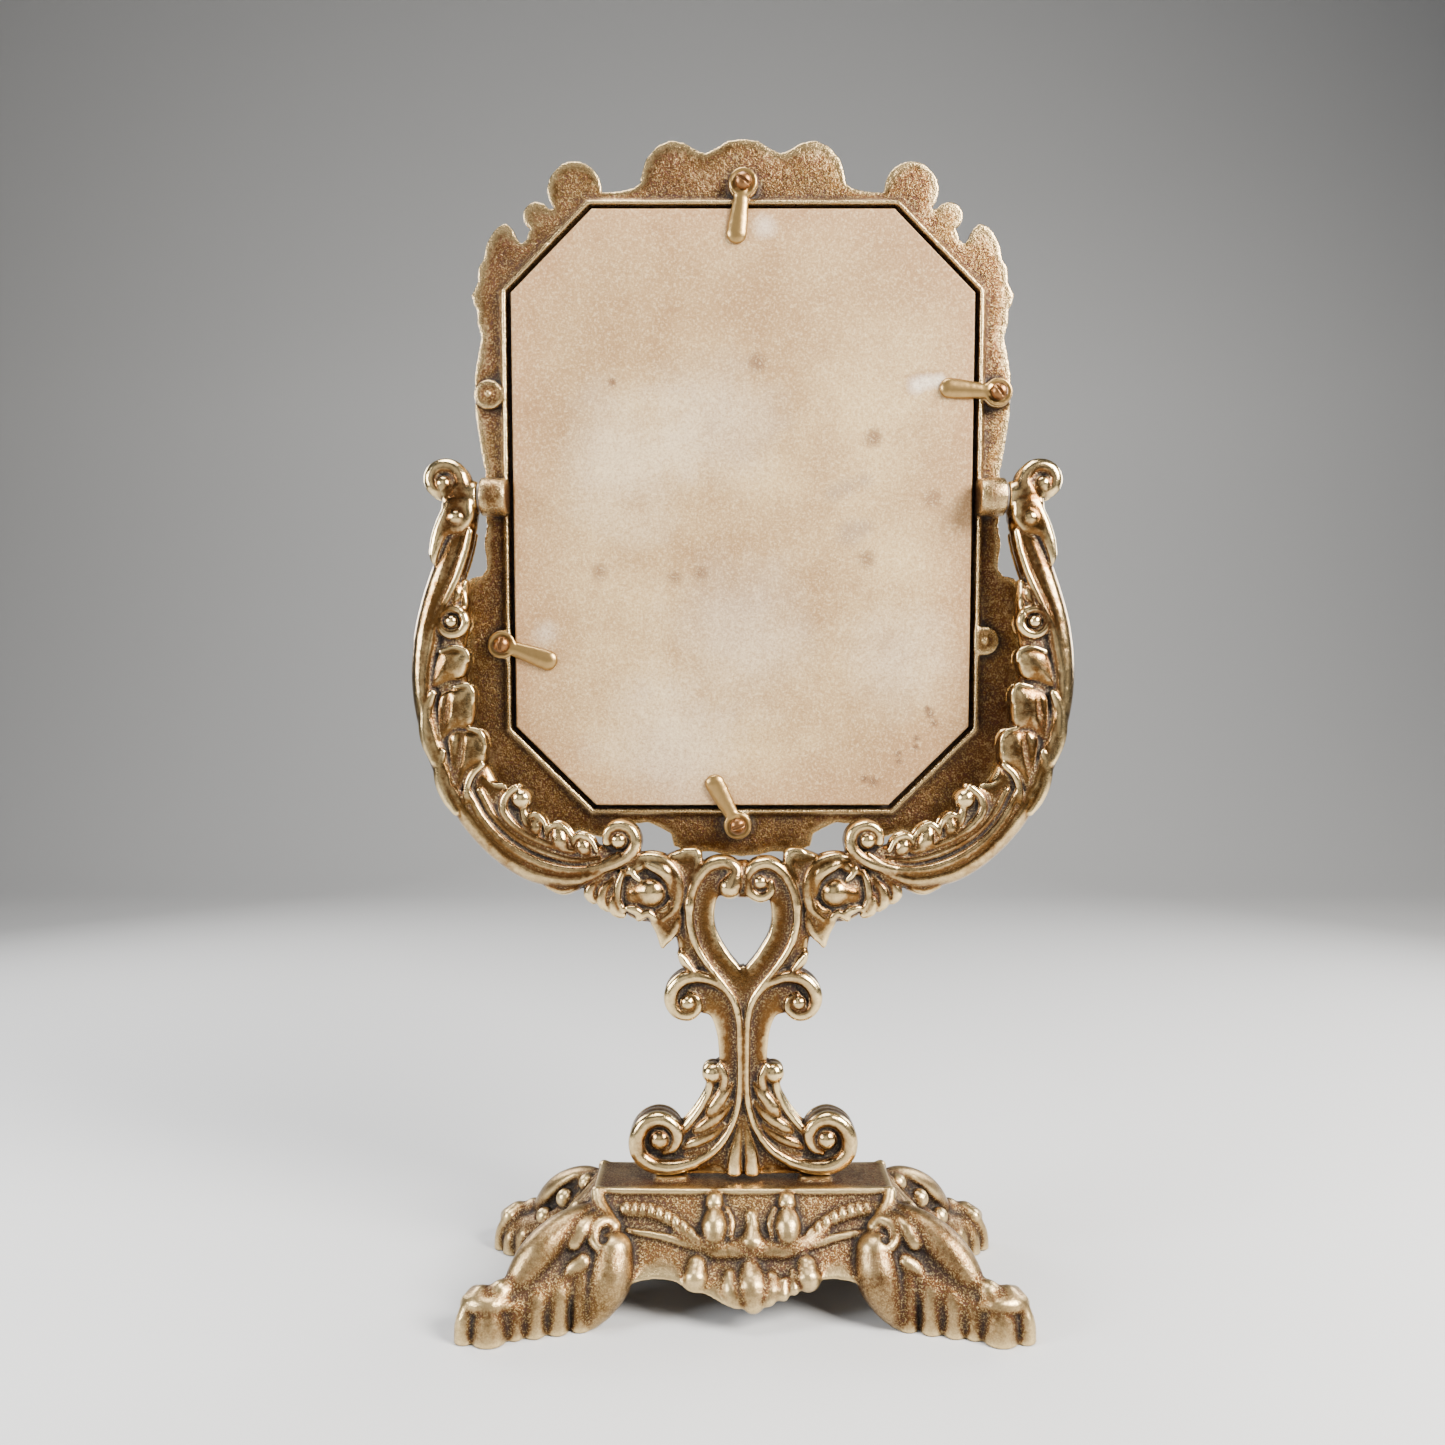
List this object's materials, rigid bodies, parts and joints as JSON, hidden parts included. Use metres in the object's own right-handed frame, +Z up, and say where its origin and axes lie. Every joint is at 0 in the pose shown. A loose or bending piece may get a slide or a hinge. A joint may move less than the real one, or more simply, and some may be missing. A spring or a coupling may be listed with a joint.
{
  "type": "table mirror",
  "caption": "Ornate gilt cast-iron table mirror: an eight-sided bevelled glass in a lobed scroll frame, tilting between the arms of a lyre stand on a four-legged base.",
  "frame": {"origin": "on the table, under the middle of the base", "axes": "+X from the left arm to the right arm as seen from the mirror's back, +Y the side the glass faces, +Z up"},
  "size_m": [0.254, 0.094, 0.4363],
  "materials": {
    "gilt_iron": "antique gold paint with red-brown patina in the hollows, rubbed bright on the ridges",
    "gilt_clip": "dull, brushed, aged",
    "bronzed_screw": "bronzed, dark in the slot",
    "dark_steel": "oiled and browned",
    "hardboard": "smooth tan hardboard with brown stains and foxing",
    "packing_card": "grey card",
    "silvered_glass": "polished, with a bevelled edge"
  },
  "bodies": {
    "stand": {"base_casting": "gilt_iron", "yoke_casting": "gilt_iron", "base_bolt_left": "dark_steel", "base_bolt_right": "dark_steel", "bolt_washer_left": "dark_steel", "bolt_washer_right": "dark_steel", "pivot_screw_left": "dark_steel", "pivot_screw_right": "dark_steel", "pivot_washer_left": "dark_steel", "pivot_washer_right": "dark_steel"},
    "mirror": {"mirror_frame": "gilt_iron", "mirror_glass": "silvered_glass", "packing_card": "packing_card", "backing_board": "hardboard", "clip_screw_top": "bronzed_screw", "clip_screw_right": "bronzed_screw", "clip_screw_left": "bronzed_screw", "clip_screw_bottom": "bronzed_screw"},
    "top clip": {"clip_top": "gilt_clip"},
    "right clip": {"clip_right": "gilt_clip"},
    "left clip": {"clip_left": "gilt_clip"},
    "bottom clip": {"clip_bottom": "gilt_clip"}
  },
  "joints": [
    {"name": "mirror_tilt", "type": "hinge", "parent": "stand", "child": "mirror", "pos_m": [0, 0, 0.301], "axis": [1, 0, 0], "range_deg": [-5, 175]},
    {"name": "top_clip_turn", "type": "hinge", "parent": "mirror", "child": "top clip", "pos_m": [0, -0.00827, 0.41853], "axis": [0, 0.9962, 0.0872], "range_deg": [-90, 90]},
    {"name": "right_clip_turn", "type": "hinge", "parent": "mirror", "child": "right clip", "pos_m": [0.0978, -0.00149, 0.34102], "axis": [0, 0.9962, 0.0872], "range_deg": [-85, 85]},
    {"name": "left_clip_turn", "type": "hinge", "parent": "mirror", "child": "left clip", "pos_m": [-0.0937, 0.00692, 0.24489], "axis": [0, 0.9962, 0.0872], "range_deg": [-85, 85]},
    {"name": "bottom_clip_turn", "type": "hinge", "parent": "mirror", "child": "bottom clip", "pos_m": [-0.0018, 0.01311, 0.17406], "axis": [0, 0.9962, 0.0872], "range_deg": [-60, 115]}
  ]
}
